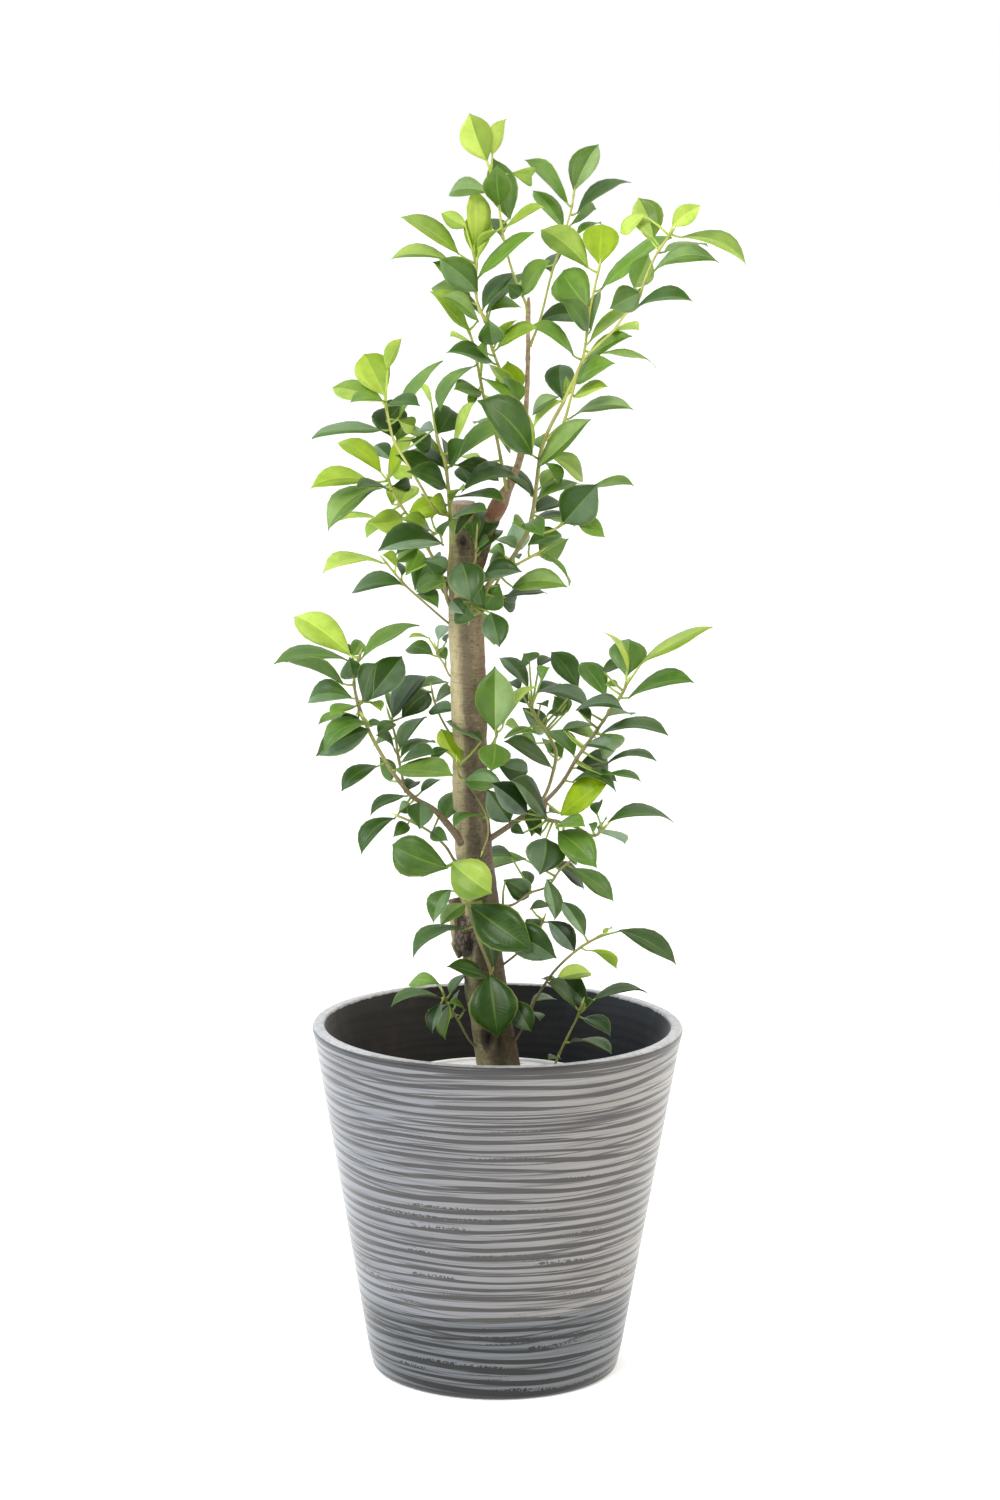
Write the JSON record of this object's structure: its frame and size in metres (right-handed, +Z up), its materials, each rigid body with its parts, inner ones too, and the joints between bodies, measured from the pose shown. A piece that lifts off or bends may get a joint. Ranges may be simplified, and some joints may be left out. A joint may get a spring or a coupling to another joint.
{
  "type": "potted chinese banyan",
  "caption": "Young upright banyan tree with a slim forking trunk and leafy side sprays, in a plain inner pot inside a tall tapered round cover pot.",
  "frame": {"origin": "centre of the cover pot's flat underside, on the floor", "axes": "+Z up along the pot's axis and the trunk, -Y towards the side seen in the picture, +X to the right in the picture"},
  "size_m": [0.3666, 0.299, 1.0115],
  "materials": {
    "back_middle_spray_leaf_green": "glossy leathery green leaves on thin brown twigs",
    "pot_glaze_grey": "matt, brushed across with light grey strokes",
    "front_middle_spray_leaf_green": "glossy leathery green leaves on thin brown twigs",
    "front_spray_leaf_green": "glossy leathery green leaves on thin brown twigs",
    "inner_left_spray_leaf_green": "glossy leathery green leaves on thin brown twigs",
    "leader_spray_leaf_green": "glossy leathery green leaves on thin brown twigs",
    "left_arm_spray_leaf_green": "glossy leathery green leaves on thin brown twigs",
    "left_back_low_twig_leaf_green": "glossy leathery green leaves on thin brown twigs",
    "left_back_twig_leaf_green": "glossy leathery green leaves on thin brown twigs",
    "left_crown_spray_leaf_green": "glossy leathery green leaves on thin brown twigs",
    "left_low_spray_leaf_green": "glossy leathery green leaves on thin brown twigs",
    "left_sprig_leaf_green": "glossy leathery green leaves on thin brown twigs",
    "left_wisp_leaf_green": "glossy leathery green leaves on thin brown twigs",
    "lower_left_limb_leaf_green": "glossy leathery green leaves on thin brown twigs",
    "lower_right_limb_leaf_green": "glossy leathery green leaves on thin brown twigs",
    "middle_front_spray_leaf_green": "glossy leathery green leaves on thin brown twigs",
    "middle_spray_leaf_green": "glossy leathery green leaves on thin brown twigs",
    "nursery_plastic_white": "satin white plastic",
    "right_back_limb_leaf_green": "glossy leathery green leaves on thin brown twigs",
    "right_back_twig_leaf_green": "glossy leathery green leaves on thin brown twigs",
    "right_crown_limb_leaf_green": "glossy leathery green leaves on thin brown twigs",
    "right_middle_spray_leaf_green": "glossy leathery green leaves on thin brown twigs",
    "right_sprig_leaf_green": "glossy leathery green leaves on thin brown twigs",
    "right_thin_low_spray_leaf_green": "glossy leathery green leaves on thin brown twigs",
    "right_thin_spray_leaf_green": "glossy leathery green leaves on thin brown twigs",
    "soil_brown": "damp, crumbly",
    "soil_shoot_leaf_green": "glossy leathery green leaves on thin brown twigs",
    "dressing_white": "matt white grit",
    "top_spray_leaf_green": "glossy leathery green leaves on thin brown twigs",
    "bark_brown": "rough grey-brown bark",
    "upper_left_limb_leaf_green": "glossy leathery green leaves on thin brown twigs"
  },
  "bodies": {
    "root": {"back_middle_spray": "back_middle_spray_leaf_green", "cover_pot": "pot_glaze_grey", "front_middle_spray": "front_middle_spray_leaf_green", "front_spray": "front_spray_leaf_green", "inner_left_spray": "inner_left_spray_leaf_green", "leader_spray": "leader_spray_leaf_green", "left_arm_spray": "left_arm_spray_leaf_green", "left_back_low_twig": "left_back_low_twig_leaf_green", "left_back_twig": "left_back_twig_leaf_green", "left_crown_spray": "left_crown_spray_leaf_green", "left_low_spray": "left_low_spray_leaf_green", "left_sprig": "left_sprig_leaf_green", "left_wisp": "left_wisp_leaf_green", "lower_left_limb": "lower_left_limb_leaf_green", "lower_right_limb": "lower_right_limb_leaf_green", "middle_front_spray": "middle_front_spray_leaf_green", "middle_spray": "middle_spray_leaf_green", "nursery_pot": "nursery_plastic_white", "right_back_limb": "right_back_limb_leaf_green", "right_back_twig": "right_back_twig_leaf_green", "right_crown_limb": "right_crown_limb_leaf_green", "right_middle_spray": "right_middle_spray_leaf_green", "right_sprig": "right_sprig_leaf_green", "right_thin_low_spray": "right_thin_low_spray_leaf_green", "right_thin_spray": "right_thin_spray_leaf_green", "soil": "soil_brown", "soil_shoot": "soil_shoot_leaf_green", "top_dressing": "dressing_white", "top_spray": "top_spray_leaf_green", "trunk": "bark_brown", "upper_left_limb": "upper_left_limb_leaf_green"}
  },
  "joints": []
}
